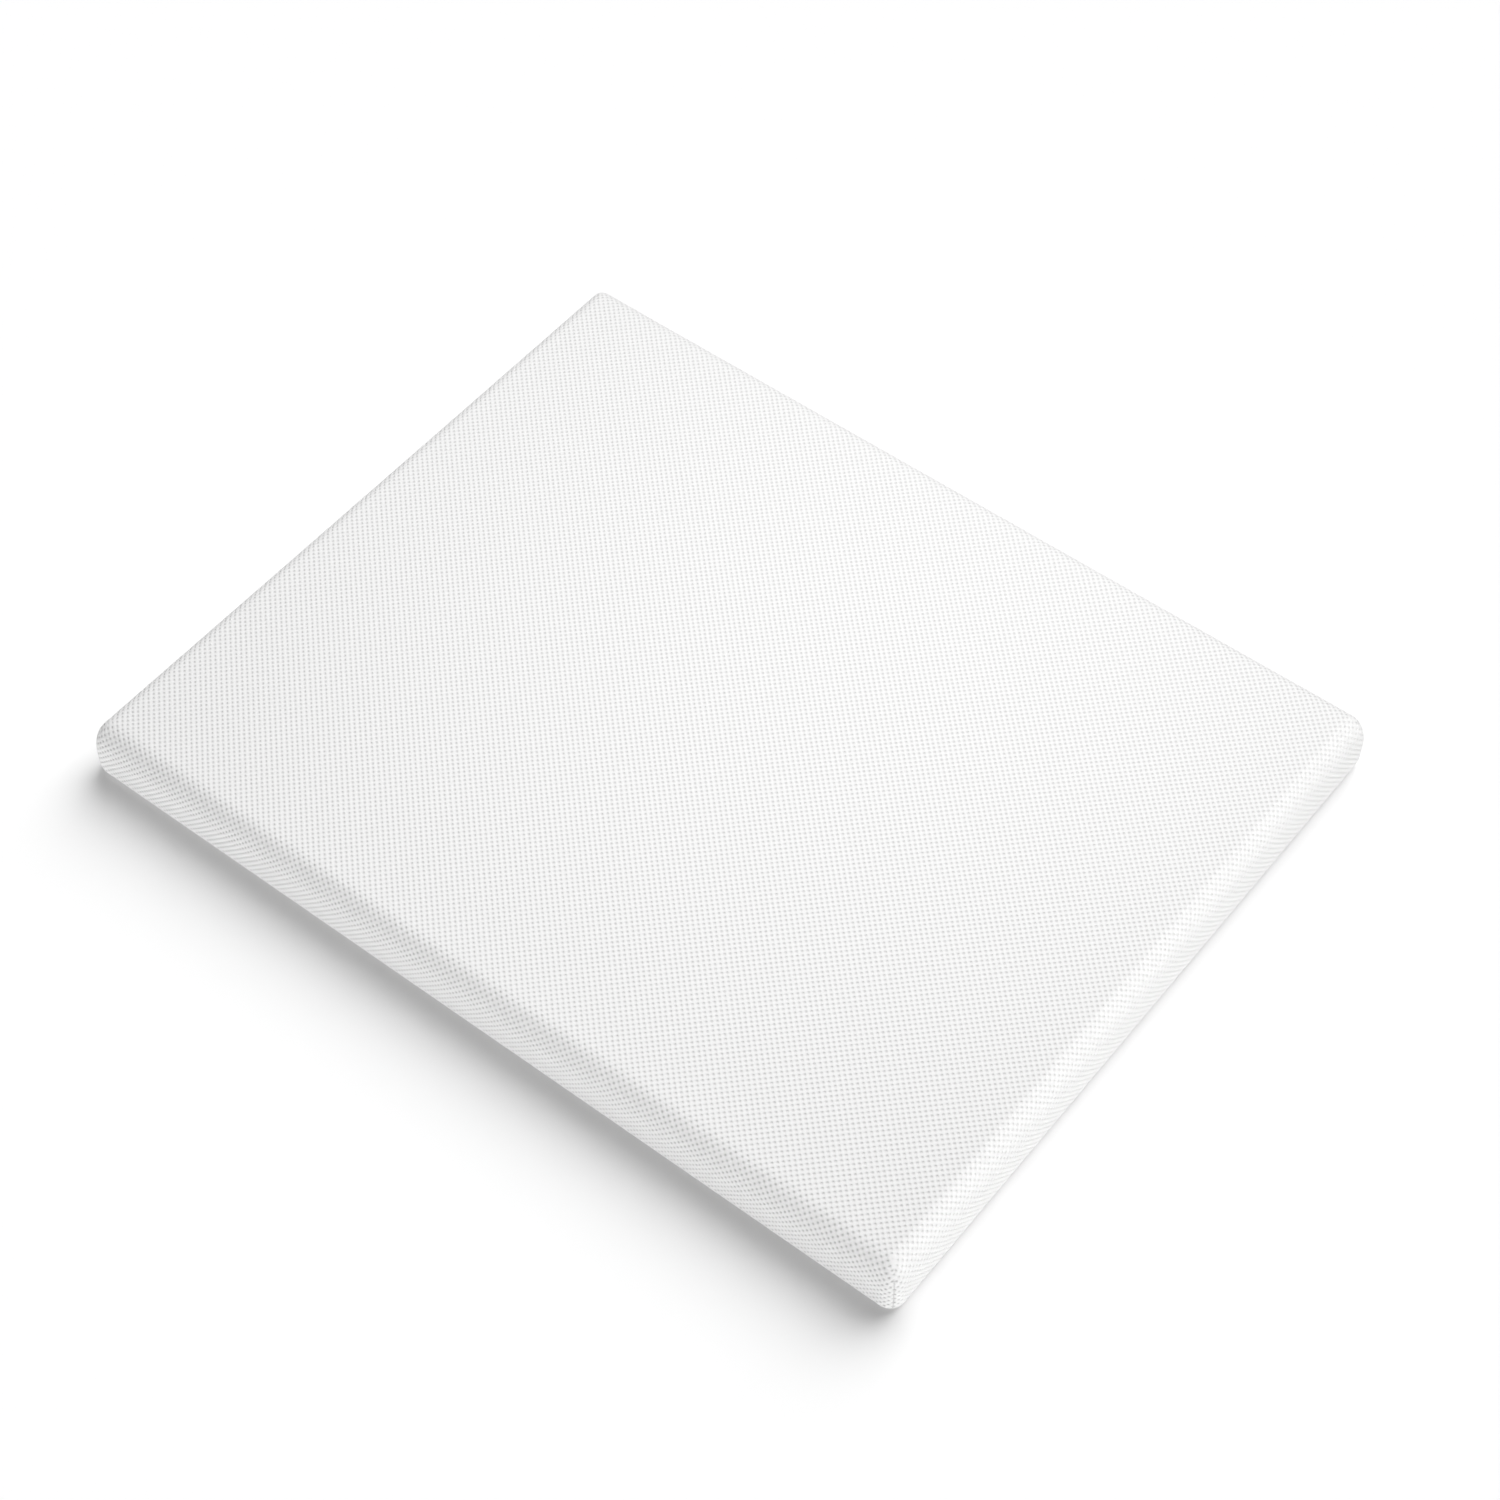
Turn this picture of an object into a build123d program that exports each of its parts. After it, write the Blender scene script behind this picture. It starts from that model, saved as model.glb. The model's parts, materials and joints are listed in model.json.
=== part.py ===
import os

from build123d import *

# Memory foam mattress: a removable knitted cover with a zip, round two layers of foam in a liner.
# Millimetres. X runs along the length, Y across the width, Z up. The origin is at the centre of the bottom.

# Overall size
length = 2000.0
width = 1600.0
thickness = 140.0

# Rounding of the padded block
plan_corner = 40.0
top_round_width = 46.0
top_round_height = 79.0
bottom_round = 22.0

# How far a cutting shape runs past what it cuts
overshoot = 10.0

# Cloth and foam
cover_thickness = 8.0
base_thickness = 2.0
sock_thickness = 1.0
memory_layer = 45.0

# Welt sewn in between the side flaps and the base cloth
welt_bottom = 8.0
welt_height = 4.0
welt_clearance = 0.2
welt_inset = 2.8
welt_nose = 1.8

# Corner seams
seam_width = 1.6
seam_height = 93.0

# Zip opening in the long side at +Y
zip_height = 38.0
end_margin = 60.0
slot_height = 16.0
tape_hem = 6.0
tape_thickness = 0.6
tape_depth = 5.0

# Coils and their stops
coil_gap = 1.2
coil_width = 2.6
coil_thickness = 2.2
coil_edge = 0.8
coil_margin = 20.0
stop_length = 3.0
stop_thickness = 2.8
stop_edge = 0.4

# Slider
running_gap = 0.3
stop_gap = 0.5
slider_length = 12.0
plate_thickness = 1.1
plate_corner = 2.0
flange_width = 1.1
bridge_length = 3.2
arch_wall = 0.6
arch_width = 1.6

# Pull tab
pin_radius = 0.55
tab_length = 22.0
tab_width = 8.0
tab_thickness = 1.0
tab_corner = 2.0
tab_neck = 3.2
arm_width = 1.2
arm_gap = 0.6
tab_hole_radius = 1.6

# Care label on the short side at -X
label_width = 50.0
label_drop = 32.0
label_thickness = 0.5
label_height = 41.0
label_from_corner = 120.0

# Places worked out from the sizes above
shoulder = thickness - top_round_height
welt_top = welt_bottom + welt_height
zip_plane = width / 2 - tape_depth
slot_length = length - 2 * (plan_corner + end_margin)
tape_length = slot_length + 2 * tape_hem
tape_reach = slot_height / 2 + tape_hem
coil_length = slot_length - 2 * coil_margin
coil_outer = coil_gap / 2 + coil_width
label_y = width / 2 - label_from_corner

slider_x = (coil_length - slider_length) / 2 - stop_gap
flange_inner = coil_outer + running_gap
slider_width = 2 * (flange_inner + flange_width)
back_plate_top = zip_plane - coil_thickness / 2 - running_gap
back_plate_y = back_plate_top - plate_thickness / 2
front_plate_bottom = zip_plane + coil_thickness / 2 + running_gap
front_plate_y = front_plate_bottom + plate_thickness / 2
front_plate_top = front_plate_bottom + plate_thickness
flange_depth = coil_thickness / 2 - tape_thickness / 2
back_flange_y = back_plate_top + flange_depth / 2
front_flange_y = front_plate_bottom - flange_depth / 2
bridge_offset = (slider_length - bridge_length) / 2 - 1.0

pivot_y = front_plate_top + running_gap + pin_radius
arch_inner = pin_radius + running_gap
arch_outer = arch_inner + arch_wall
arch_rise = 2 * (running_gap + pin_radius) + arch_wall
arm_inner = arch_width / 2 + arm_gap
arm_outer = arm_inner + arm_width


def draw_half(span, inset, bottom):
    # right half of a cross-section: flat base, round lower edge, upright wall, elliptical shoulder, flat top
    wall = span / 2 - inset
    top = thickness - inset
    low_radius = bottom_round - inset
    shoulder_x = wall - top_round_width + inset
    Line((0, bottom), (wall - low_radius, bottom))
    CenterArc((wall - low_radius, bottom + low_radius), low_radius, -90, 90)
    Line((wall, bottom + low_radius), (wall, shoulder))
    EllipticalCenterArc((shoulder_x, shoulder), top_round_width - inset, top_round_height - inset, arc_size=90)
    Line((shoulder_x, top), (0, top))


def padded_block(inset, bottom):
    # the mattress shape drawn in by inset on its sides and top, standing at the height of bottom
    with BuildPart() as block:
        with BuildSketch(Plane.YZ.offset(-length / 2 - overshoot)):
            with BuildLine():
                draw_half(width, inset, bottom)
                mirror(about=Plane.YZ)
            make_face()
        extrude(amount=length + 2 * overshoot)
        with BuildSketch(Plane.XZ.offset(-width / 2 - overshoot)):
            with BuildLine():
                draw_half(length, inset, bottom)
                mirror(about=Plane.YZ)
            make_face()
        extrude(amount=width + 2 * overshoot, mode=Mode.INTERSECT)
        with BuildSketch(Plane.XY):
            RectangleRounded(length - 2 * inset, width - 2 * inset, plan_corner - inset)
        extrude(amount=thickness, mode=Mode.INTERSECT)
    return block.part


os.makedirs("parts", exist_ok=True)

# Nested skins, from the outside in
outside = padded_block(0, 0)
sock_space = padded_block(cover_thickness, base_thickness)
foam_space = padded_block(cover_thickness + sock_thickness, base_thickness + sock_thickness)

with BuildPart() as flap_shell:
    add(outside)
    add(sock_space, mode=Mode.SUBTRACT)
    split(bisect_by=Plane.XY.offset(welt_top), keep=Keep.TOP)

# One plane at each plan corner's centre of rounding, its X axis pointing out through the corner
corner_x = length / 2 - plan_corner
corner_y = width / 2 - plan_corner
corner_planes = {
    "front_left": Plane((-corner_x, -corner_y, welt_top), x_dir=(-1, -1, 0)),
    "front_right": Plane((corner_x, -corner_y, welt_top), x_dir=(1, -1, 0)),
    "back_left": Plane((-corner_x, corner_y, welt_top), x_dir=(-1, 1, 0)),
    "back_right": Plane((corner_x, corner_y, welt_top), x_dir=(1, 1, 0)),
}

# Corner seams: upright strips of seam allowance, flush with the cloth on both faces
for name, corner_plane in corner_planes.items():
    with BuildPart() as corner_seam:
        with BuildSketch(corner_plane):
            Rectangle(plan_corner + seam_width, seam_width, align=(Align.MIN, Align.CENTER))
        extrude(amount=seam_height)
        add(flap_shell.part, mode=Mode.INTERSECT)
    corner_seam.part.label = "corner_seam_" + name
    export_step(corner_seam.part, "parts/corner_seam_" + name + ".step")

# Cover: top and side flaps in one piece, open along the zip, with a slit above and below it for the tapes
with BuildPart() as mesh_cover:
    add(flap_shell.part)
    with BuildSketch(*corner_planes.values()):
        Rectangle(plan_corner + seam_width, seam_width, align=(Align.MIN, Align.CENTER))
    extrude(amount=seam_height, mode=Mode.SUBTRACT)
    with Locations((0, width / 2, zip_height)):
        Box(slot_length, 2 * cover_thickness, slot_height, mode=Mode.SUBTRACT)
    with Locations((0, zip_plane, zip_height)):
        Box(tape_length, tape_thickness, 2 * tape_reach, mode=Mode.SUBTRACT)
    with Locations((-length / 2, label_y, label_height)):
        Box(2 * label_thickness, label_width, label_drop, mode=Mode.SUBTRACT)
mesh_cover.part.label = "mesh_cover"
export_step(mesh_cover.part, "parts/mesh_cover.step")

# Welt: a cord-like band that closes the joint between the flaps and the base cloth
with BuildPart() as edge_welt:
    with BuildSketch(Plane.XY.offset(welt_bottom)):
        RectangleRounded(length - 2 * welt_inset, width - 2 * welt_inset, plan_corner - welt_inset)
    extrude(amount=welt_height)
    fillet(edges().group_by(Axis.Z)[0] + edges().group_by(Axis.Z)[-1], welt_nose)
    with BuildSketch(Plane.XY.offset(welt_bottom)):
        welt_core = cover_thickness - welt_clearance
        RectangleRounded(length - 2 * welt_core, width - 2 * welt_core, plan_corner - welt_core)
    extrude(amount=welt_height, mode=Mode.SUBTRACT)
edge_welt.part.label = "edge_welt"
export_step(edge_welt.part, "parts/edge_welt.step")

# Base cloth: a shallow tray that turns up to the welt
with BuildPart() as base_panel:
    add(outside)
    add(padded_block(base_thickness, base_thickness), mode=Mode.SUBTRACT)
    split(bisect_by=Plane.XY.offset(welt_bottom), keep=Keep.BOTTOM)
base_panel.part.label = "base_panel"
export_step(base_panel.part, "parts/base_panel.step")

# Liner, closed all round the foam
with BuildPart() as inner_sock:
    add(sock_space)
    add(foam_space, mode=Mode.SUBTRACT)
inner_sock.part.label = "inner_sock"
export_step(inner_sock.part, "parts/inner_sock.step")

# The two foams, bonded face to face
foam_top = thickness - cover_thickness - sock_thickness
foam_joint = Plane.XY.offset(foam_top - memory_layer)
with BuildPart() as memory_foam_layer:
    add(foam_space)
    split(bisect_by=foam_joint, keep=Keep.TOP)
memory_foam_layer.part.label = "memory_foam_layer"
export_step(memory_foam_layer.part, "parts/memory_foam_layer.step")

with BuildPart() as support_core:
    add(foam_space)
    split(bisect_by=foam_joint, keep=Keep.BOTTOM)
support_core.part.label = "support_core"
export_step(support_core.part, "parts/support_core.step")

# Tapes, coils and closed-end stops, the same above and below the zip's centre line
for name, side in (("upper", 1), ("lower", -1)):
    with BuildPart() as zip_tape:
        with Locations((0, zip_plane, zip_height + side * (coil_outer + tape_reach) / 2)):
            Box(tape_length, tape_thickness, tape_reach - coil_outer)
    zip_tape.part.label = "zip_tape_" + name
    export_step(zip_tape.part, "parts/zip_tape_" + name + ".step")

    coil_z = zip_height + side * (coil_gap + coil_width) / 2
    with BuildPart() as zip_coil:
        with Locations((0, zip_plane, coil_z)):
            Box(coil_length, coil_thickness, coil_width)
        fillet(edges().filter_by(Axis.X), coil_edge)
    zip_coil.part.label = "zip_coil_" + name
    export_step(zip_coil.part, "parts/zip_coil_" + name + ".step")

    with BuildPart() as zip_stop:
        with Locations(((coil_length + stop_length) / 2, zip_plane, coil_z)):
            Box(stop_length, stop_thickness, coil_width)
        fillet(edges().filter_by(Axis.X), stop_edge)
    zip_stop.part.label = "zip_stop_" + name
    export_step(zip_stop.part, "parts/zip_stop_" + name + ".step")

# Box that joins both tapes at the open end
with BuildPart() as zip_end_box:
    with Locations((-(coil_length + stop_length) / 2, zip_plane, zip_height)):
        Box(stop_length, stop_thickness, 2 * coil_outer)
    fillet(edges().filter_by(Axis.X), stop_edge)
zip_end_box.part.label = "zip_end_box"
export_step(zip_end_box.part, "parts/zip_end_box.step")

# Slider: two plates with flanges round the coils, a bridge between the coils, and an arch for the tab's pin
with BuildPart() as zip_slider:
    for plate_y in (back_plate_y, front_plate_y):
        with BuildSketch(Plane.XZ.offset(-plate_y)):
            with Locations((slider_x, zip_height)):
                RectangleRounded(slider_length, slider_width, plate_corner)
        extrude(amount=plate_thickness / 2, both=True)
    for flange_y in (back_flange_y, front_flange_y):
        for side in (1, -1):
            with Locations((slider_x, flange_y, zip_height + side * (flange_inner + flange_width / 2))):
                Box(slider_length - 2 * plate_corner, flange_depth, flange_width)
    with Locations((slider_x + bridge_offset, zip_plane, zip_height)):
        Box(bridge_length, front_plate_bottom - back_plate_top, coil_gap - 2 * running_gap)
    with BuildSketch(Plane.XY.offset(zip_height)):
        with Locations((slider_x, front_plate_top)):
            Rectangle(2 * arch_outer, arch_rise, align=(Align.CENTER, Align.MIN))
            Rectangle(2 * arch_inner, arch_rise - arch_wall, align=(Align.CENTER, Align.MIN), mode=Mode.SUBTRACT)
    extrude(amount=arch_width / 2, both=True)
zip_slider.part.label = "zip_slider"
export_step(zip_slider.part, "parts/zip_slider.step")

# Pull tab: a pin under the arch, two arms and a flat leaf with a hole, lying along the closed coils
with BuildPart() as pull_tab:
    with BuildSketch(Plane.XY.offset(zip_height)):
        with Locations((slider_x, pivot_y)):
            Circle(pin_radius)
    extrude(amount=arm_outer, both=True)
    with BuildSketch(Plane.XZ.offset(-pivot_y)):
        with Locations((slider_x - tab_neck, zip_height)):
            RectangleRounded(tab_length - tab_neck, tab_width, tab_corner, align=(Align.MAX, Align.CENTER))
        with Locations((slider_x, zip_height)):
            Rectangle(tab_neck + tab_corner, 2 * arm_outer, align=(Align.MAX, Align.CENTER))
            Rectangle(tab_neck, 2 * arm_inner, align=(Align.MAX, Align.CENTER), mode=Mode.SUBTRACT)
        with Locations((slider_x - tab_length + tab_width / 2, zip_height)):
            Circle(tab_hole_radius, mode=Mode.SUBTRACT)
    extrude(amount=tab_thickness / 2, both=True)
pull_tab.part.label = "pull_tab"
export_step(pull_tab.part, "parts/pull_tab.step")

# Care label, let into the cloth of the short side
with BuildPart() as care_label:
    with Locations((-length / 2, label_y, label_height)):
        Box(label_thickness, label_width, label_drop, align=(Align.MIN, Align.CENTER, Align.CENTER))
care_label.part.label = "care_label"
export_step(care_label.part, "parts/care_label.step")
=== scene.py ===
import json
import math
from bisect import bisect_right

import bmesh
import bpy
from mathutils import Matrix, Vector

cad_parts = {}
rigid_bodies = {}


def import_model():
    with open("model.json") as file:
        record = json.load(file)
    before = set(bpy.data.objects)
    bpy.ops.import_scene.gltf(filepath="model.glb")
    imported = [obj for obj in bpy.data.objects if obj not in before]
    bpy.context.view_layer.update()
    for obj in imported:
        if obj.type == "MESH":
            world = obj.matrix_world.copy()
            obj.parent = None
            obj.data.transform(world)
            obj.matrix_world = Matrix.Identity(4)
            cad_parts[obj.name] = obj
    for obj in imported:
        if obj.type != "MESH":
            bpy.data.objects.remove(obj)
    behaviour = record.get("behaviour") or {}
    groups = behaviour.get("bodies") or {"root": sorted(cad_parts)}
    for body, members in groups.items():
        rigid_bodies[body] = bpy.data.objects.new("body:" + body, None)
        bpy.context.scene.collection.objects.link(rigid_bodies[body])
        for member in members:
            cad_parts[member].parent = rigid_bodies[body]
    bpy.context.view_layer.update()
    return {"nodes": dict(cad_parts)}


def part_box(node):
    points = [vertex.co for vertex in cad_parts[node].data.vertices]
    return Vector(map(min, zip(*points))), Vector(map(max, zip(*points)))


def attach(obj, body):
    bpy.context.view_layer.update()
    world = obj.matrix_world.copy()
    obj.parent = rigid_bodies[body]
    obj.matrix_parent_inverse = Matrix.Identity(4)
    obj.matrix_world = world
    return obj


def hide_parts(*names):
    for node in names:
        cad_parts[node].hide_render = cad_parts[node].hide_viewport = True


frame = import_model()
coverLow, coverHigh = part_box("mesh_cover")
halfSize = (coverHigh.x, coverHigh.y)
topHeight = coverHigh.z
scene = bpy.context.scene
print("frame loaded")


class Wire:
    # a shader socket that takes part in arithmetic, each operator adding a Math node
    def __init__(self, tree, socket=None):
        self.tree = tree
        self.socket = socket

    def node(self, kind, settings, values, output=0):
        made = self.tree.nodes.new(kind)
        for name, value in settings.items():
            setattr(made, name, value)
        for name, value in values.items():
            if isinstance(value, Wire):
                self.tree.links.new(value.socket, made.inputs[name])
            else:
                made.inputs[name].default_value = value
        return Wire(self.tree, made.outputs[output])

    def maths(self, operation, first, second=0.0):
        return self.node("ShaderNodeMath", {"operation": operation}, {0: first, 1: second})

    def __add__(self, other):
        return self.maths("ADD", self, other)

    def __radd__(self, other):
        return self.maths("ADD", other, self)

    def __sub__(self, other):
        return self.maths("SUBTRACT", self, other)

    def __rsub__(self, other):
        return self.maths("SUBTRACT", other, self)

    def __mul__(self, other):
        return self.maths("MULTIPLY", self, other)

    def __pow__(self, other):
        return self.maths("POWER", self, other)

    def cosine(self):
        return self.maths("COSINE", self)

    def clamped(self, low, high):
        return self.maths("MINIMUM", self.maths("MAXIMUM", self, low), high)

    def axes(self):
        return [self.node("ShaderNodeSeparateXYZ", {}, {0: self}, axis) for axis in range(3)]

    def mixColours(self, factor, first, second):
        return self.node("ShaderNodeMix", {"data_type": "RGBA"}, {0: factor, 6: first, 7: second}, 2)

    def bump(self, height):
        return self.node("ShaderNodeBump", {}, {"Strength": 1.0, "Distance": 1.0, "Height": height})

    def noise(self, place, scale, detail=2.0):
        return self.node("ShaderNodeTexNoise", {}, {"Vector": place, "Scale": scale, "Detail": detail})

    def facing(self):
        return self.node("ShaderNodeTexCoord", {}, {}, 1)

    def place(self):
        # object coordinates
        return self.node("ShaderNodeTexCoord", {}, {}, 3)


def startMaterial(name, colour, roughness, sheen=0.0, specular=0.5):
    material = bpy.data.materials.new(name)
    material.use_nodes = True
    shader = material.node_tree.nodes["Principled BSDF"]
    shader.inputs["Base Color"].default_value = colour
    shader.inputs["Roughness"].default_value = roughness
    shader.inputs["Specular IOR Level"].default_value = specular
    shader.inputs["Sheen Weight"].default_value = sheen
    shader.inputs["Sheen Roughness"].default_value = 0.5
    return material, Wire(material.node_tree), shader


def feed(shader, socket, wire):
    wire.tree.links.new(wire.socket, shader.inputs[socket])


def grey(level, warmth=0.0):
    return (level, level * (1 - warmth), level * (1 - 2 * warmth), 1.0)


def darken(colour, share):
    return tuple(c * share for c in colour[:3]) + (1.0,)


knit = {
    "white": grey(0.845, 0.002),
    "hollow": grey(0.79, 0.004),      # painted shade at the bottom of a hollow
    "flapHollowPaintedShade": grey(0.54, 0.004),  # deeper painted shade at the bottom of a hollow on the long flaps, which face along Y
    "holeSharpness": 4.0,
    "holeDepth": 0.0026,
    "yarnPitch": 0.0018,
    "yarnDepth": 0.00012,
    "patchScale": 9.0,
    "patchShare": 0.12,
}


def spacerMeshMaterial(steps):
    # steps are a quarter of the knit's repeat in both directions
    material, wire, shader = startMaterial("spacerMesh", knit["white"], 0.82, sheen=0.12, specular=0.3)
    cloth = wire.node("ShaderNodeUVMap", {"uv_map": "cloth"}, {})
    across, down, _ = cloth.axes()
    turns = [math.pi / 2 / step for step in steps]
    weave = (across * turns[0]).cosine() * (down * turns[1]).cosine()
    hollow = (0.5 - weave * 0.5) ** knit["holeSharpness"]
    turn = 2 * math.pi / knit["yarnPitch"]
    yarn = ((across + down) * turn).cosine() * ((across - down) * turn).cosine()
    patches = wire.noise(cloth, knit["patchScale"], 3.0)
    height = hollow * -knit["holeDepth"] + yarn * knit["yarnDepth"]
    # how far the hollows' painted shade reaches, with random patches of tone mixed in
    shade = (hollow + (patches - 0.5) * knit["patchShare"]).clamped(0.0, 1.0)
    # painted shade in the hollows, deeper as the surface faces along Y on the long flaps, mixed into the
    # knit's white
    _, lengthwise, _ = wire.facing().axes()
    flap = wire.maths("ABSOLUTE", lengthwise).clamped(0.0, 1.0)
    bottom = wire.mixColours(flap, knit["hollow"], knit["flapHollowPaintedShade"])
    feed(shader, "Base Color", wire.mixColours(shade, knit["white"], bottom))
    feed(shader, "Roughness", 0.78 + hollow * 0.12)
    feed(shader, "Normal", wire.bump(height))
    return material


def wovenMaterial(name, colour, pitch, depth, roughness=0.8):
    # plain weave on object coordinates: threads over and under in two directions
    material, wire, shader = startMaterial(name, colour, roughness, sheen=0.1, specular=0.3)
    place = wire.place()
    x, y, z = place.axes()
    turn = math.pi / pitch
    weave = (x * turn).cosine() * ((y + z) * turn).cosine()
    patches = wire.noise(place, 14.0)
    # darker where the weave sits low: painted shade between the threads, with random patches of tone
    shade = ((0.5 - weave * 0.5) * 0.6 + (patches - 0.5) * 0.3).clamped(0.0, 1.0)
    feed(shader, "Base Color", wire.mixColours(shade, colour, darken(colour, 0.88)))
    feed(shader, "Normal", wire.bump(weave * depth))
    return material


def foamMaterial(name, colour, cell, depth):
    # open cells: fine round pits, with painted shade at their bottoms
    material, wire, shader = startMaterial(name, colour, 0.9, specular=0.2)
    place = wire.place()
    pits = wire.node("ShaderNodeTexVoronoi", {"feature": "F1"}, {"Vector": place, "Scale": 1 / cell})
    patches = wire.noise(place, 6.0)
    # painted shade in the pits, with random patches of tone
    shade = ((1 - pits) * 0.5 + (patches - 0.5) * 0.3).clamped(0.0, 1.0)
    feed(shader, "Base Color", wire.mixColours(shade, colour, darken(colour, 0.8)))
    feed(shader, "Normal", wire.bump(pits * depth))
    return material


def nylonMaterial(name, colour, roughness):
    material, wire, shader = startMaterial(name, colour, roughness)
    place = wire.place()
    streaks = wire.noise(place, 900.0)
    feed(shader, "Base Color", wire.mixColours(streaks, colour, darken(colour, 0.93)))
    feed(shader, "Roughness", roughness + streaks * 0.1)
    feed(shader, "Normal", wire.bump(streaks * 0.00003))
    return material


print("materials ready")

edge = {
    "topRun": 0.046,         # width of the rounded shoulder
    "topDrop": 0.079,        # and its height
    "lowRadius": 0.022,      # rounding under the side
    "cornerRadius": 0.034,   # rounding of a corner seen from above
    "samples": 160,
}


def edgeLine(inset, bottom, top, stop):
    # shoulder, side and lower rounding of a layer that lies inset from the cover's face
    run, drop, low = edge["topRun"] - inset, edge["topDrop"] - inset, edge["lowRadius"] - inset
    shoulder = topHeight - edge["topDrop"]
    turns = [math.pi / 2 * n / edge["samples"] for n in range(edge["samples"] + 1)]
    line = [(run * math.sin(t), shoulder + drop * math.cos(t)) for t in turns]
    line += [(run - low * (1 - math.cos(t)), bottom + low * (1 - math.sin(t))) for t in turns]
    return [(0.0, top)] + [(r, z) for r, z in line if stop <= z < top - 1e-6]


def underLine(stop):
    # the flat below and the same lower rounding, turned up as far as the stop
    start, low = edge["topRun"] - edge["lowRadius"], edge["lowRadius"]
    turns = [math.pi / 2 * n / edge["samples"] for n in range(edge["samples"] + 1)]
    line = [(start + low * math.sin(t), low * (1 - math.cos(t))) for t in turns]
    return [(0.0, 0.0)] + [(r, z) for r, z in line if z <= stop]


class Section:
    # a layer's edge seen from its end, outwards from the flat, read by distance along it
    def __init__(self, line, facing=1):
        self.line = line
        self.facing = facing
        self.reach = [0.0]
        for (r0, z0), (r1, z1) in zip(line, line[1:]):
            self.reach.append(self.reach[-1] + math.hypot(r1 - r0, z1 - z0))
        self.length = self.reach[-1]
        self.run = max(r for r, z in line)

    def at(self, distance):
        # run outwards, height, and the outward and upward parts of the normal
        n = min(max(bisect_right(self.reach, distance) - 1, 0), len(self.line) - 2)
        (r0, z0), (r1, z1) = self.line[n], self.line[n + 1]
        step = self.reach[n + 1] - self.reach[n]
        share = (distance - self.reach[n]) / step
        out, up = (z0 - z1) / step * self.facing, (r1 - r0) / step * self.facing
        return r0 + (r1 - r0) * share, z0 + (z1 - z0) * share, out, up

    def distanceTo(self, height):
        for n, ((_, z0), (_, z1)) in enumerate(zip(self.line, self.line[1:])):
            if z1 <= height:
                return self.reach[n] + (z0 - height) / (z0 - z1) * (self.reach[n + 1] - self.reach[n])
        return self.length

    def rows(self, spacing):
        count = int(self.length / spacing)
        return [n * spacing for n in range(count + 1)] + [self.length]


class Layer:
    # cloth or a foam's skin, gridded on the flat and bent over the edge. Knots (i, j) count from the middle.
    # Past the flat, rows go down the edge, and in a corner the two flaps share the knots of their seam.
    def __init__(self, section, flatCounts, rows):
        self.section = section
        self.flat = flatCounts
        self.rows = [(s,) + section.at(s) for s in rows]
        self.base = tuple(size - edge["topRun"] for size in halfSize)
        self.step = tuple(base / count for base, count in zip(self.base, flatCounts))
        self.counts = tuple(count + len(rows) - 1 for count in flatCounts)
        self.corner = edge["cornerRadius"] - (edge["topRun"] - section.run)

    def depth(self, i, j):
        return abs(i) - self.flat[0], abs(j) - self.flat[1]

    def knot(self, i, j, flap=None):
        # place, outward direction and cloth coordinates of a knot
        down = [max(0, count) for count in self.depth(i, j)]
        k = max(down)
        if k == 0:
            x, y = i * self.step[0], j * self.step[1]
            return (x, y, self.section.line[0][1]), (0.0, 0.0, self.section.facing), (x, y)
        main = int(down[1] > down[0]) if flap is None else flap
        cross = 1 - main
        sides = (math.copysign(1, i), math.copysign(1, j))
        distance, run, height, out, up = self.rows[k]
        turn = 0.0
        far = self.base[main] + run
        if down[cross] == 0:
            near = abs((i, j)[cross]) * self.step[cross]
            clothNear = near
        else:
            radius = self.corner * run / self.section.run
            straight = run - radius
            along = down[cross] / k * (straight + radius * math.pi / 4)
            near = clothNear = self.base[cross] + along
            if along > straight:
                turn = (along - straight) / radius
                near = self.base[cross] + straight + radius * math.sin(turn)
                far += radius * (math.cos(turn) - 1)
        place, normal, cloth = [0.0, 0.0], [0.0, 0.0], [0.0, 0.0]
        place[main], place[cross] = sides[main] * far, sides[cross] * near
        normal[main], normal[cross] = sides[main] * out * math.cos(turn), sides[cross] * out * math.sin(turn)
        cloth[main], cloth[cross] = sides[main] * (self.base[main] + distance), sides[cross] * clothNear
        return (*place, height), (*normal, up), tuple(cloth)


def bendLayer(layer, lift=None):
    # a grid on the flat, cut along the corner seams and moved over the edge. lift(i, j, cloth) raises a knot.
    bm = bmesh.new()
    iCount, jCount = layer.counts
    bmesh.ops.create_grid(bm, x_segments=2 * iCount, y_segments=2 * jCount, size=0.5)
    bm.verts.ensure_lookup_table()
    knots = {v: (round((v.co.x + 0.5) * 2 * iCount) - iCount, round((v.co.y + 0.5) * 2 * jCount) - jCount)
             for v in bm.verts}
    onSeam = {v for v, ij in knots.items() if layer.depth(*ij)[0] == layer.depth(*ij)[1] >= 0}
    for vert in sorted(onSeam, key=lambda v: v.index):
        for face in list(vert.link_faces):
            far = [v for v in face.verts if v in onSeam and v.index > vert.index]
            if len(face.verts) == 4 and far:
                bmesh.utils.face_split(face, vert, far[0])
    cloth = {}
    for vert, ij in knots.items():
        place, normal, cloth[vert] = layer.knot(*ij)
        raised = lift(*ij, cloth[vert]) if lift else 0.0
        vert.co = Vector(place) + Vector(normal) * raised
    uv = bm.loops.layers.uv.new("cloth")
    for face in bm.faces:
        for loop in face.loops:
            loop[uv].uv = cloth[loop.vert]
    for vert in onSeam:
        for loop in vert.link_loops:
            i, j = [sum(layer.depth(*knots[v])[axis] for v in loop.face.verts) for axis in (0, 1)]
            loop[uv].uv = layer.knot(*knots[vert], int(j > i))[2]
    if layer.section.facing < 0:
        bmesh.ops.reverse_faces(bm, faces=bm.faces[:])
    return bm, knots


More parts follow.
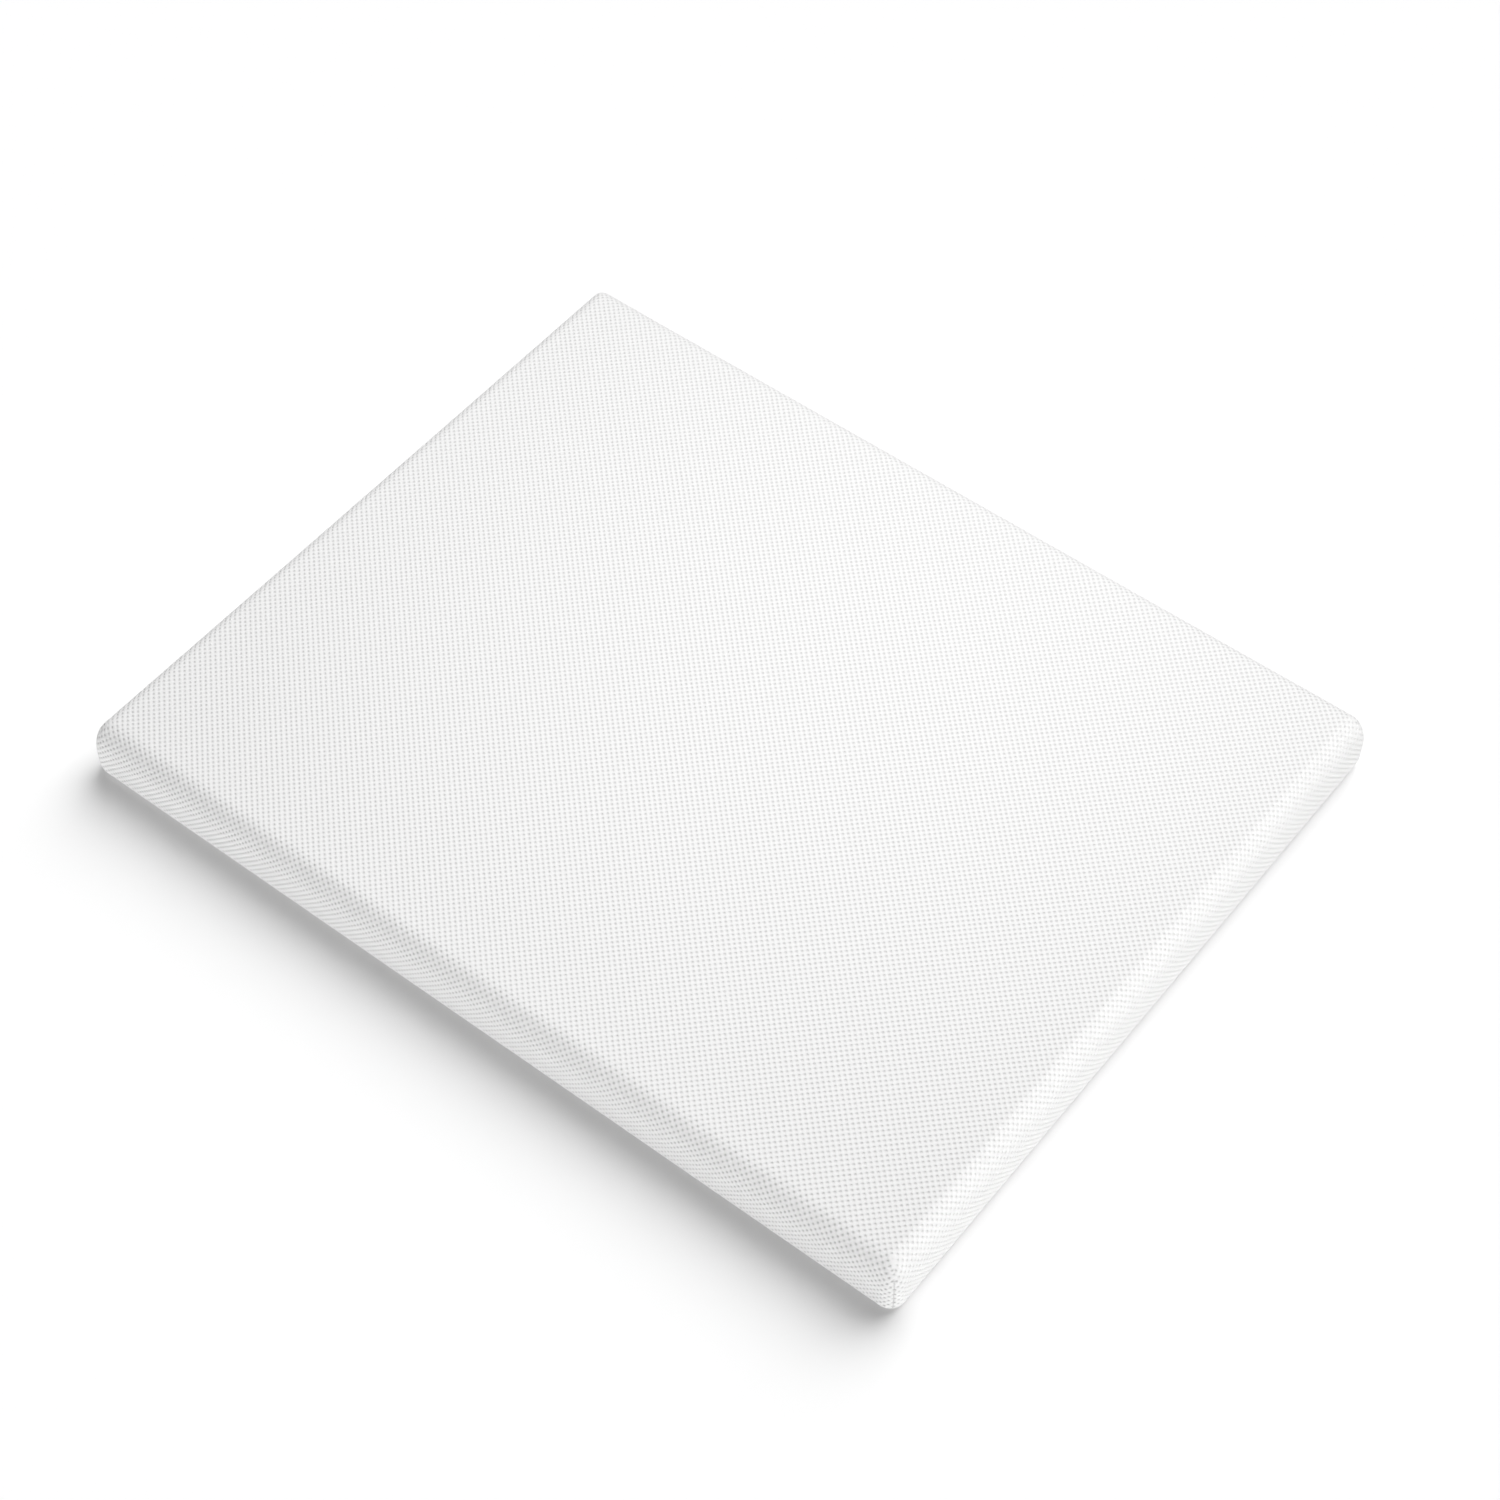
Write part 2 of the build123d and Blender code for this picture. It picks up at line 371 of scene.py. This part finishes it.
def closeUnder(bm):
    # a foam's or a sock's flat underside
    rim = [e for e in bm.edges if e.is_boundary]
    return bmesh.ops.edgeloop_fill(bm, edges=rim)["faces"]


def finishPiece(bm, name, materials, nodes):
    mesh = bpy.data.meshes.new(name)
    for face in bm.faces:
        face.smooth = True
    bm.to_mesh(mesh)
    bm.free()
    piece = bpy.data.objects.new(name, mesh)
    scene.collection.objects.link(piece)
    for material in materials:
        mesh.materials.append(material)
    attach(piece, "mattress")
    if nodes:
        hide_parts(*nodes)
    return piece


def thicken(piece, thickness):
    wall = piece.modifiers.new("thickness", "SOLIDIFY")
    wall.thickness = thickness
    wall.offset = -1.0


def repeatAlong(piece, count, pitch):
    run = piece.modifiers.new("run", "ARRAY")
    run.count = count
    run.use_relative_offset = False
    run.use_constant_offset = True
    run.constant_offset_displace = (pitch, 0, 0)
    return run


cover = {
    "flatKnots": (260, 206),   # quarter repeats of the knit from the middle to the shoulder
    "stop": 0.012,             # the flaps end on the welt
    "dimple": 0.00045,         # ridges and hollows of the knit, up and down from the middle
    "seamTop": 0.112,          # height where a corner seam dies out
    "seamFade": 0.02,
    "seamDip": (0.0016, 0.0006),
    "slotHalf": 0.900,
    "slotHeights": (0.046, 0.030),
    "lip": 0.0008,
    "hem": 0.0038,
    "turnUnder": 0.004,
    "crown": 0.0022,
}


puff = {
    "flatKnots": (20, 16),
    "rowSpacing": 0.030,
    "pressure": 4.0,
    "stiffness": 60.0,
    "bending": 20.0,
    "frames": 20,
}


def puffCover(section):
    # The cover filled out by a coarse cloth simulation. Gives the place of a distance along the edge on the
    # coarse grid, and the rise along the normal at a place on it.
    distances = section.rows(puff["rowSpacing"])
    last = len(distances) - 1

    def rowPlace(distance):
        n = min(bisect_right(distances, distance) - 1, last - 1)
        return n + (distance - distances[n]) / (distances[n + 1] - distances[n])

    coarse = Layer(section, puff["flatKnots"], distances)
    bm, knots = bendLayer(coarse)
    order = list(knots.values())
    mesh = bpy.data.meshes.new("puffing")
    bm.to_mesh(mesh)
    bm.free()
    puffing = bpy.data.objects.new("puffing", mesh)
    scene.collection.objects.link(puffing)
    held = puffing.vertex_groups.new(name="held")
    held.add([n for n, ij in enumerate(order) if max(coarse.depth(*ij)) == last], 1.0, "REPLACE")
    sim = puffing.modifiers.new("puff", "CLOTH")
    sim.settings.vertex_group_mass = "held"
    sim.settings.use_pressure = True
    sim.settings.uniform_pressure_force = puff["pressure"]
    sim.settings.tension_stiffness = puff["stiffness"]
    sim.settings.compression_stiffness = puff["stiffness"]
    sim.settings.bending_stiffness = puff["bending"]
    sim.settings.effector_weights.gravity = 0.0
    sim.point_cache.frame_start = 1
    sim.point_cache.frame_end = puff["frames"]
    for number in range(1, puff["frames"] + 1):
        scene.frame_set(number)
    grown = puffing.evaluated_get(bpy.context.evaluated_depsgraph_get())
    rises = {}
    for n, ij in enumerate(order):
        place, normal, _ = coarse.knot(*ij)
        rises[ij] = (grown.data.vertices[n].co - Vector(place)).dot(Vector(normal))
    most = max(rises.values())
    scene.frame_set(1)
    bpy.data.objects.remove(puffing)
    print("cover puffed, crown of the simulation", round(most, 4))

    def rise(x, y):
        # between the four coarse knots around, scaled down to the crown wanted
        i, j = math.floor(x), math.floor(y)
        u, v = x - i, y - j
        corners = ((0, 0, (1 - u) * (1 - v)), (1, 0, u * (1 - v)), (0, 1, (1 - u) * v), (1, 1, u * v))
        total = 0.0
        for di, dj, weight in corners:
            key = (min(i + di, coarse.counts[0]), min(j + dj, coarse.counts[1]))
            total += weight * rises.get(key, 0.0)
        return total / most * cover["crown"]

    return rowPlace, rise


def makeCover():
    section = Section(edgeLine(0.0, 0.0, topHeight, cover["stop"]))
    spacing = sum((size - edge["topRun"]) / count for size, count in zip(halfSize, cover["flatKnots"])) / 2
    rows = section.rows(spacing)
    slotRows = []
    for height in cover["slotHeights"]:
        distance = section.distanceTo(height)
        slotRows.append(round(distance / spacing))
        rows[slotRows[-1]] = distance
    layer = Layer(section, cover["flatKnots"], rows)
    slotEnd = round(cover["slotHalf"] / layer.step[0])
    seamStart = section.distanceTo(cover["seamTop"])
    rowPlace, rise = puffCover(section)
    coarseRows = [rowPlace(distance) for distance in rows]
    turns = [math.pi / 2 / step for step in layer.step]

    def lift(i, j, cloth):
        a, b = layer.depth(i, j)
        level = cover["dimple"] * math.cos(cloth[0] * turns[0]) * math.cos(cloth[1] * turns[1])
        row = max(a, b, 0)
        byTheZip = j > 0 and abs(i) <= slotEnd + 1 and slotRows[0] - 1 <= b <= slotRows[1] + 1
        if row == len(rows) - 1 or byTheZip:
            level = 0.0
        aside = abs(a - b)
        if a > 0 and b > 0 and aside < 2:
            fade = min(1.0, max(0.0, (rows[row] - seamStart) / cover["seamFade"]))
            level = level * (1 - fade) - cover["seamDip"][aside] * fade
        x, y = [abs(count) / flat * coarse if depth <= 0 else coarse + coarseRows[depth]
                for count, depth, flat, coarse in zip((i, j), (a, b), layer.flat, puff["flatKnots"])]
        return level + rise(x, y)

    bm, knots = bendLayer(layer, lift)

    def inSlot(i, j):
        return j > 0 and abs(i) <= slotEnd and slotRows[0] <= j - layer.flat[1] <= slotRows[1]

    gap = [face for face in bm.faces if all(inSlot(*knots[v]) for v in face.verts)]
    bmesh.ops.delete(bm, geom=gap, context="FACES")
    # the flaps turn in over the zip, and under at the welt
    middle = sum(cover["slotHeights"]) / 2
    rim = [e for e in bm.edges if e.is_boundary]
    slotRim = [e for e in rim if e.verts[0].co.z > cover["stop"] + 0.004]
    lowRim = [e for e in rim if e.verts[0].co.z <= cover["stop"] + 0.004]
    lip = cover["lip"]
    for inwards, across in ((lip * 0.35, lip * 0.3), (lip * 0.65, lip * 0.7), (cover["hem"], 0.0)):
        made = bmesh.ops.extrude_edge_only(bm, edges=slotRim)["geom"]
        slotRim = [g for g in made if isinstance(g, bmesh.types.BMEdge)]
        for vert in [g for g in made if isinstance(g, bmesh.types.BMVert)]:
            reach = cover["slotHalf"] - lip * 4
            towards = Vector((min(max(vert.co.x, -reach), reach), vert.co.y, middle)) - vert.co
            vert.co += towards.normalized() * across + Vector((0, -inwards, 0))
    made = bmesh.ops.extrude_edge_only(bm, edges=lowRim)["geom"]
    for vert in [g for g in made if isinstance(g, bmesh.types.BMVert)]:
        vert.co.x *= 1 - cover["turnUnder"] / halfSize[0]
        vert.co.y *= 1 - cover["turnUnder"] / halfSize[1]
    piece = finishPiece(bm, "meshCover", [spacerMeshMaterial(layer.step)], ["mesh_cover"])
    return layer, slotRows


coverLayer, zipRows = makeCover()
print("cover made")

seam = {
    "tapeHalf": 0.0009,
    "tapeSink": 0.0004,
    "tapeRound": 0.0002,
    "thread": 0.00035,
    "stitchLength": 0.0036,
    "stitchGap": 0.0052,
    "stitchLift": 0.0007,
}


def addStitch(bm, place, along, outward, length, thickness, material=0):
    # one thread loop, a lens-shaped ball pulled out along its run
    made = bmesh.ops.create_icosphere(bm, subdivisions=1, radius=1.0)["verts"]
    side = along.cross(outward).normalized()
    run, lift = along.normalized() * length / 2, outward.normalized() * thickness
    turned = Matrix((run, side * thickness, lift)).transposed()
    bmesh.ops.transform(bm, matrix=Matrix.Translation(place) @ turned.to_4x4(), verts=made)
    for face in {f for v in made for f in v.link_faces}:
        face.material_index = material


def makeCornerSeam(name, node, sideX, sideY, clothMaterial, threadMaterial):
    layer = coverLayer
    first = next(k for k, row in enumerate(layer.rows) if row[2] < cover["seamTop"] - 0.006)
    path = []
    for k in range(first, len(layer.rows)):
        place, normal, _ = layer.knot(sideX * (layer.flat[0] + k), sideY * (layer.flat[1] + k))
        path.append((Vector(place), Vector(normal).normalized()))
    aside = Vector((-sideX * sideY, 1, 0)).normalized()
    bm = bmesh.new()
    sink = cover["seamDip"][0] - seam["tapeSink"]
    place, normal = path[0]
    verts = [bm.verts.new(place - normal * sink + aside * seam["tapeHalf"] * side) for side in (-1, 0, 1)]
    rungs = [bm.edges.new(pair) for pair in zip(verts, verts[1:])]
    for place, normal in path[1:]:
        made = bmesh.ops.extrude_edge_only(bm, edges=rungs)["geom"]
        rungs = [g for g in made if isinstance(g, bmesh.types.BMEdge) and g.is_boundary and
                 not any(v in verts for v in g.verts)]
        fresh = sorted((g for g in made if isinstance(g, bmesh.types.BMVert)), key=lambda v: v.co.dot(aside))
        for vert, side in zip(fresh, (-1, 0, 1)):
            rounded = seam["tapeRound"] if side == 0 else 0.0
            vert.co = place - normal * (sink - rounded) + aside * seam["tapeHalf"] * side
        verts = fresh
    bmesh.ops.recalc_face_normals(bm, faces=bm.faces[:])
    if bm.faces[:][0].normal.dot(path[0][1]) < 0:
        bmesh.ops.reverse_faces(bm, faces=bm.faces[:])
    travelled, due = 0.0, 0.0
    for (place, normal), (following, _) in zip(path, path[1:]):
        step = following - place
        while due <= travelled + step.length:
            spot = place + step * ((due - travelled) / step.length)
            lean = (aside * 0.8 + step.normalized() * 0.6).normalized()
            proud = spot - normal * (sink - seam["stitchLift"])
            addStitch(bm, proud, lean, normal, seam["stitchLength"], seam["thread"], 1)
            due += seam["stitchGap"]
        travelled += step.length
    finishPiece(bm, name, [clothMaterial, threadMaterial], [node])


seamCloth = wovenMaterial("seamCloth", grey(0.74, 0.004), 0.0008, 0.00008)
seamThread = wovenMaterial("seamThread", grey(0.46, 0.006), 0.0003, 0.00003)
for sideY, depthName in ((-1, "front_"), (1, "back_")):
    for sideX, name in ((-1, depthName + "left"), (1, depthName + "right")):
        makeCornerSeam("cornerSeam." + name, "corner_seam_" + name, sideX, sideY, seamCloth, seamThread)
print("corner seams made")

welt = {"segments": 14, "squareness": 0.6, "cornerSteps": 12, "depth": 0.005}


def makeWelt():
    low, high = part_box("edge_welt")
    depth, height, middle = welt["depth"], high.z - low.z, (low.z + high.z) / 2
    radius = edge["cornerRadius"] - depth / 2 - (halfSize[0] - high.x)
    reachX, reachY = high.x - depth / 2 - radius, high.y - depth / 2 - radius
    bm = bmesh.new()
    ring = bmesh.ops.create_circle(bm, segments=welt["segments"], radius=1.0)["verts"]
    for vert in ring:
        out, up = [math.copysign(abs(c) ** welt["squareness"], c) for c in (vert.co.x, vert.co.y)]
        vert.co = (-reachX, -reachY - radius + out * depth / 2, middle + up * height / 2)
    section = bm.edges[:]
    sides = (
        (reachX, -reachY, (2 * reachX, 0, 0)),
        (reachX, reachY, (0, 2 * reachY, 0)),
        (-reachX, reachY, (-2 * reachX, 0, 0)),
        (-reachX, -reachY, (0, -2 * reachY, 0)),
    )
    for centreX, centreY, run in sides:
        made = bmesh.ops.extrude_edge_only(bm, edges=section)["geom"]
        moved = [g for g in made if isinstance(g, bmesh.types.BMVert)]
        bmesh.ops.translate(bm, vec=run, verts=moved)
        section = [g for g in made if isinstance(g, bmesh.types.BMEdge) and all(v in moved for v in g.verts)]
        spun = bmesh.ops.spin(bm, geom=section, cent=(centreX, centreY, 0), axis=(0, 0, 1), angle=math.pi / 2,
                              steps=welt["cornerSteps"], use_merge=False, use_duplicate=False)
        section = [g for g in spun["geom_last"] if isinstance(g, bmesh.types.BMEdge)]
    bmesh.ops.remove_doubles(bm, verts=bm.verts[:], dist=1e-5)
    bmesh.ops.recalc_face_normals(bm, faces=bm.faces[:])
    piece = finishPiece(bm, "edgeWelt", [wovenMaterial("weltCloth", grey(0.84, 0.002), 0.0012, 0.0001)],
                        ["edge_welt"])


makeWelt()
print("welt made")


base = {"stop": 0.0085, "flatKnots": (24, 20), "rowSpacing": 0.004, "thickness": 0.0012}


def makeBase():
    section = Section(underLine(base["stop"]), facing=-1)
    layer = Layer(section, base["flatKnots"], section.rows(base["rowSpacing"]))
    bm, _ = bendLayer(layer)
    piece = finishPiece(bm, "basePanel", [wovenMaterial("baseCloth", grey(0.70, 0.004), 0.0016, 0.00018)],
                        ["base_panel"])
    thicken(piece, base["thickness"])


makeBase()

sock = {"inset": 0.008, "bottom": 0.002, "flatKnots": (32, 26), "rowSpacing": 0.008, "thickness": 0.0006}


def makeSock():
    section = Section(edgeLine(sock["inset"], sock["bottom"], topHeight - sock["inset"], sock["bottom"]))
    layer = Layer(section, sock["flatKnots"], section.rows(sock["rowSpacing"]))
    bm, _ = bendLayer(layer)
    closeUnder(bm)
    piece = finishPiece(bm, "innerSock", [wovenMaterial("linerKnit", grey(0.80, 0.003), 0.0012, 0.0001)],
                        ["inner_sock"])
    thicken(piece, sock["thickness"])


foam = {"inset": 0.009, "bottom": 0.003, "flatKnots": (32, 26), "rowSpacing": 0.006, "softening": 0.002}


def makeFoam(name, node, top, stop, material):
    section = Section(edgeLine(foam["inset"], foam["bottom"], top, stop))
    layer = Layer(section, foam["flatKnots"], section.rows(foam["rowSpacing"]))
    bm, _ = bendLayer(layer)
    closeUnder(bm)
    piece = finishPiece(bm, name, [material], [node])
    soften = piece.modifiers.new("softened", "BEVEL")
    soften.width = foam["softening"]
    soften.segments = 2
    soften.limit_method = "ANGLE"
    soften.angle_limit = 0.9


foamJoint, foamTop = [corner.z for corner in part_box("memory_foam_layer")]
makeFoam("memoryFoamLayer", "memory_foam_layer", foamTop, foamJoint,
         foamMaterial("memoryFoam", (0.80, 0.79, 0.72, 1.0), 0.0012, 0.0003))
makeFoam("supportCore", "support_core", foamJoint, foam["bottom"],
         foamMaterial("coreFoam", (0.86, 0.86, 0.84, 1.0), 0.0018, 0.0005))
makeSock()
print("base, sock and foams made")

zipper = {
    "pitch": 0.00127,
    "wire": 0.00034,
    "meet": 0.0001,          # half the slit left between the two coils
    "coilSteps": 8,
    "tapeRows": 6,
    "tapeThickness": 0.0005,
    "tapeWave": 0.00006,
    "stitchLength": 0.0026,
    "stitchPitch": 0.0040,
    "stitchOff": 0.0034,
    "stitchThread": 0.0003,
    "nubRound": 0.0007,
}


def makeTape(name, node, material):
    low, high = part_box(node)
    bm = bmesh.new()
    bmesh.ops.create_grid(bm, x_segments=180, y_segments=zipper["tapeRows"], size=0.5)
    for vert in bm.verts:
        u, v = vert.co.x + 0.5, vert.co.y + 0.5
        wave = zipper["tapeWave"] * math.sin(u * 160) * math.sin(v * math.pi)
        vert.co = (low.x + (high.x - low.x) * u, high.y - 0.00005 + wave, low.z + (high.z - low.z) * v)
    bmesh.ops.recalc_face_normals(bm, faces=bm.faces[:])
    if bm.faces[:][0].normal.y < 0:
        bmesh.ops.reverse_faces(bm, faces=bm.faces[:])
    piece = finishPiece(bm, name, [material], [node])
    thicken(piece, zipper["tapeThickness"])


def makeCoil(name, node, side, material):
    # one turn of the moulded wire, flattened, and repeated along the tape
    low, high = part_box(node)
    centre = sum(corner.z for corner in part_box("zip_slider")) / 2
    outer = max(abs(low.z - centre), abs(high.z - centre))
    halfHeight = (outer - zipper["meet"]) / 2
    halfDepth = (high.y - low.y) / 2
    steps = zipper["coilSteps"]
    bm = bmesh.new()
    ring = bmesh.ops.create_circle(bm, segments=4, radius=zipper["wire"])["verts"]
    bmesh.ops.translate(bm, vec=(0, halfDepth - zipper["wire"], 0), verts=ring)
    bmesh.ops.spin(bm, geom=bm.edges[:], cent=(0, 0, 0), axis=(1, 0, 0), angle=2 * math.pi,
                   dvec=(zipper["pitch"] / steps, 0, 0), steps=steps, use_merge=False, use_duplicate=False)
    bmesh.ops.scale(bm, vec=(1, 1, halfHeight / halfDepth), verts=bm.verts[:])
    shift = zipper["pitch"] / 2 if side > 0 else 0.0
    level = centre + side * (outer + zipper["meet"]) / 2
    bmesh.ops.translate(bm, vec=(low.x + shift, (low.y + high.y) / 2, level), verts=bm.verts[:])
    bmesh.ops.recalc_face_normals(bm, faces=bm.faces[:])
    piece = finishPiece(bm, name, [material], [node])
    turns = repeatAlong(piece, round((high.x - low.x) / zipper["pitch"]) - 1, zipper["pitch"])
    turns.use_merge_vertices = True
    turns.merge_threshold = 0.00002


def makeLipStitches(name, height, material):
    # the row of stitches that holds a flap's hem to its tape
    bm = bmesh.new()
    place = Vector((-cover["slotHalf"], halfSize[1] + zipper["stitchThread"] / 2, height))
    addStitch(bm, place, Vector((1, 0, 0)), Vector((0, 1, 0)), zipper["stitchLength"], zipper["stitchThread"])
    piece = finishPiece(bm, name, [material], [])
    repeatAlong(piece, round(2 * cover["slotHalf"] / zipper["stitchPitch"]), zipper["stitchPitch"])


zipTape = wovenMaterial("zipTape", grey(0.80, 0.003), 0.0007, 0.00008)
zipNylon = nylonMaterial("zipNylon", grey(0.82, 0.003), 0.38)
for level, side in (("upper", 1), ("lower", -1)):
    makeTape("zipTape." + level, "zip_tape_" + level, zipTape)
    makeCoil("zipCoil." + level, "zip_coil_" + level, side, zipNylon)
    edgeHeight = cover["slotHeights"][0 if side > 0 else 1]
    makeLipStitches("lipStitches." + level, edgeHeight + side * zipper["stitchOff"], seamThread)


def makeStop(name, node, material):
    # a moulded nub on the end of a coil
    low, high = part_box(node)
    bm = bmesh.new()
    nub = bmesh.ops.create_cube(bm, size=1.0)["verts"]
    bmesh.ops.scale(bm, vec=high - low, verts=nub)
    bmesh.ops.bevel(bm, geom=bm.edges[:], offset=zipper["nubRound"], segments=3, profile=0.5, affect="EDGES",
                    material=-1)
    bmesh.ops.translate(bm, vec=(low + high) / 2, verts=bm.verts[:])
    finishPiece(bm, name, [material], [node])


for name, node in (("zipStop.upper", "zip_stop_upper"), ("zipStop.lower", "zip_stop_lower"),
                   ("zipEndBox", "zip_end_box")):
    makeStop(name, node, zipNylon)


def enamelMaterial(name, colour):
    # enamel on cast metal: smooth, with a faint unevenness
    material, wire, shader = startMaterial(name, colour, 0.28)
    shader.inputs["Coat Roughness"].default_value = 0.1
    place = wire.place()
    cloud = wire.noise(place, 700.0)
    feed(shader, "Base Color", wire.mixColours(cloud, colour, darken(colour, 0.94)))
    feed(shader, "Roughness", 0.24 + cloud * 0.12)
    feed(shader, "Normal", wire.bump(cloud * 0.00002))
    return material


sliderEnamel = enamelMaterial("sliderEnamel", grey(0.80, 0.002))
finishes = {"zip_slider": sliderEnamel, "pull_tab": sliderEnamel}
for nodeName, material in finishes.items():
    mesh = frame["nodes"][nodeName].data
    mesh.materials.clear()
    mesh.materials.append(material)
print("zip made")

label = {
    "columns": 24,
    "rows": 16,
    "curl": 0.0009,
    "thickness": 0.0004,
    "stand": 0.0007,
    "stitchPitch": 0.0038,
    "stitchLength": 0.0026,
    "thread": 0.00028,
    "hem": 0.003,
}


def satinMaterial(name, colour):
    material, wire, shader = startMaterial(name, colour, 0.45, sheen=0.1)
    place = wire.place()
    x, y, z = place.axes()
    ribs = (z * (2 * math.pi / 0.0005)).cosine() * 0.5 + 0.5
    feed(shader, "Base Color", wire.mixColours(ribs * 0.6, colour, darken(colour, 0.9)))
    feed(shader, "Roughness", 0.4 + ribs * 0.12)
    feed(shader, "Normal", wire.bump(ribs * 0.00003))
    return material


def makeLabel():
    low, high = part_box("care_label")
    bm = bmesh.new()
    bmesh.ops.create_grid(bm, x_segments=label["columns"], y_segments=label["rows"], size=0.5)
    for vert in bm.verts:
        u, v = vert.co.x + 0.5, vert.co.y + 0.5
        # sewn along its top, free and slightly curled below
        loose = (1 - v) ** 2 * label["curl"] * (0.6 + 0.4 * math.cos(u * 2 * math.pi))
        across, up = (high.y - low.y) * u, (high.z - low.z) * v
        vert.co = (low.x - label["stand"] - loose, high.y - across, low.z + up)
    bmesh.ops.recalc_face_normals(bm, faces=bm.faces[:])
    if bm.faces[:][0].normal.x > 0:
        bmesh.ops.reverse_faces(bm, faces=bm.faces[:])
    satin = satinMaterial("labelSatin", grey(0.83, 0.002))
    piece = finishPiece(bm, "careLabel", [satin], ["care_label"])
    thicken(piece, label["thickness"])
    bm = bmesh.new()
    face = low.x - label["stand"] - label["thickness"]
    for n in range(int((high.y - low.y - 0.004) / label["stitchPitch"])):
        place = Vector((face, low.y + label["hem"] + label["stitchPitch"] * n, high.z - label["hem"]))
        addStitch(bm, place, Vector((0, 1, 0)), Vector((-1, 0, 0)), label["stitchLength"], label["thread"])
    finishPiece(bm, "labelStitches", [seamThread], [])


makeLabel()
print("label made")

view = {
    "place": (2.4515, -3.0845, 5.1821),
    "heading": 37.913,
    "elevation": 52.532,
    "roll": 0.131,
    "lens": 77.46,
}
studio = {
    "world": 0.218,
    "backdrop": 1.0,
    # heading 0 shines from the front, 90 from the right, 180 from the back. The lamps below 0 stand in for
    # the light that a bright floor throws back, so the floor doesn't block them.
    "lamps": {
        "key": {"heading": 172, "elevation": 70, "size": (2.0, 2.0), "watts": 180},
        "overhead": {"heading": 5, "elevation": 80, "size": (2.0, 2.0), "watts": 94},
        "rightBounce": {"heading": 84, "elevation": -5, "size": (3.0, 1.0), "watts": 103},
        "leftBounce": {"heading": -30, "elevation": -40, "size": (3.0, 1.0), "watts": 94},
        "frontBounce": {"heading": 15, "elevation": -2, "size": (3.0, 1.0), "watts": 54},
    },
    "suns": {
        "floorLow": {"heading": 182, "elevation": 44, "spread": 55, "strength": 1.46},
        "floorHigh": {"heading": 182, "elevation": 54, "spread": 60, "strength": 2.0},
    },
    "distance": 5.0,
    "aimedAt": (0.0, 0.0, 0.07),
}


def setCamera():
    camera = bpy.data.objects.new("camera", bpy.data.cameras.new("camera"))
    camera.data.lens = view["lens"]
    camera.data.sensor_width = 36.0
    camera.data.clip_end = 200.0
    turned = (Matrix.Rotation(math.radians(view["heading"]), 4, "Z")
              @ Matrix.Rotation(math.radians(90 - view["elevation"]), 4, "X")
              @ Matrix.Rotation(math.radians(view["roll"]), 4, "Z"))
    camera.matrix_world = Matrix.Translation(view["place"]) @ turned
    scene.collection.objects.link(camera)
    scene.camera = camera


def setFloor():
    bm = bmesh.new()
    bmesh.ops.create_grid(bm, x_segments=2, y_segments=2, size=30.0)
    mesh = bpy.data.meshes.new("floor")
    bm.to_mesh(mesh)
    bm.free()
    floor = bpy.data.objects.new("floor", mesh)
    scene.collection.objects.link(floor)
    material, wire, shader = startMaterial("floorPaper", grey(0.95), 0.9, specular=0.0)
    mesh.materials.append(material)
    return floor


def setWorld():
    # dim as a light, bright as a backdrop
    scene.view_settings.view_transform = "Standard"
    world = bpy.data.worlds.new("studio")
    world.use_nodes = True
    wire = Wire(world.node_tree)
    seen = wire.node("ShaderNodeLightPath", {}, {})
    strength = studio["world"] + seen * (studio["backdrop"] - studio["world"])
    background = world.node_tree.nodes["Background"]
    background.inputs["Color"].default_value = (1, 1, 1, 1)
    world.node_tree.links.new(strength.socket, background.inputs["Strength"])
    scene.world = world


def addLamp(name, kind, lamp, receivers, onto):
    data = bpy.data.lights.new(name, kind)
    made = bpy.data.objects.new(name, data)
    scene.collection.objects.link(made)
    up, around = math.radians(lamp["elevation"]), math.radians(lamp["heading"])
    away = Vector((math.sin(around) * math.cos(up), -math.cos(around) * math.cos(up), math.sin(up)))
    turned = (-away).to_track_quat("-Z", "Y").to_matrix().to_4x4()
    made.matrix_world = Matrix.Translation(Vector(studio["aimedAt"]) + away * studio["distance"]) @ turned
    made.light_linking.receiver_collection = receivers[onto]
    if lamp["elevation"] < 0:
        made.light_linking.blocker_collection = receivers["mattress"]
    return data


def setLamps(floor):
    # the floor and the mattress have lamps of their own, so that the shadow and the cloth are set apart
    receivers = {
        "floor": bpy.data.collections.new("litFloor"),
        "mattress": bpy.data.collections.new("litMattress"),
    }
    receivers["floor"].objects.link(floor)
    for piece in scene.objects:
        if piece.type == "MESH" and piece is not floor:
            receivers["mattress"].objects.link(piece)
    for name, lamp in studio["lamps"].items():
        data = addLamp(name, "AREA", lamp, receivers, "mattress")
        data.shape = "RECTANGLE"
        data.size, data.size_y = lamp["size"]
        data.energy = lamp["watts"]
    for name, lamp in studio["suns"].items():
        data = addLamp(name, "SUN", lamp, receivers, "floor")
        data.angle = math.radians(lamp["spread"])
        data.energy = lamp["strength"]


setCamera()
setWorld()
setLamps(setFloor())
print("camera, floor and lights set")
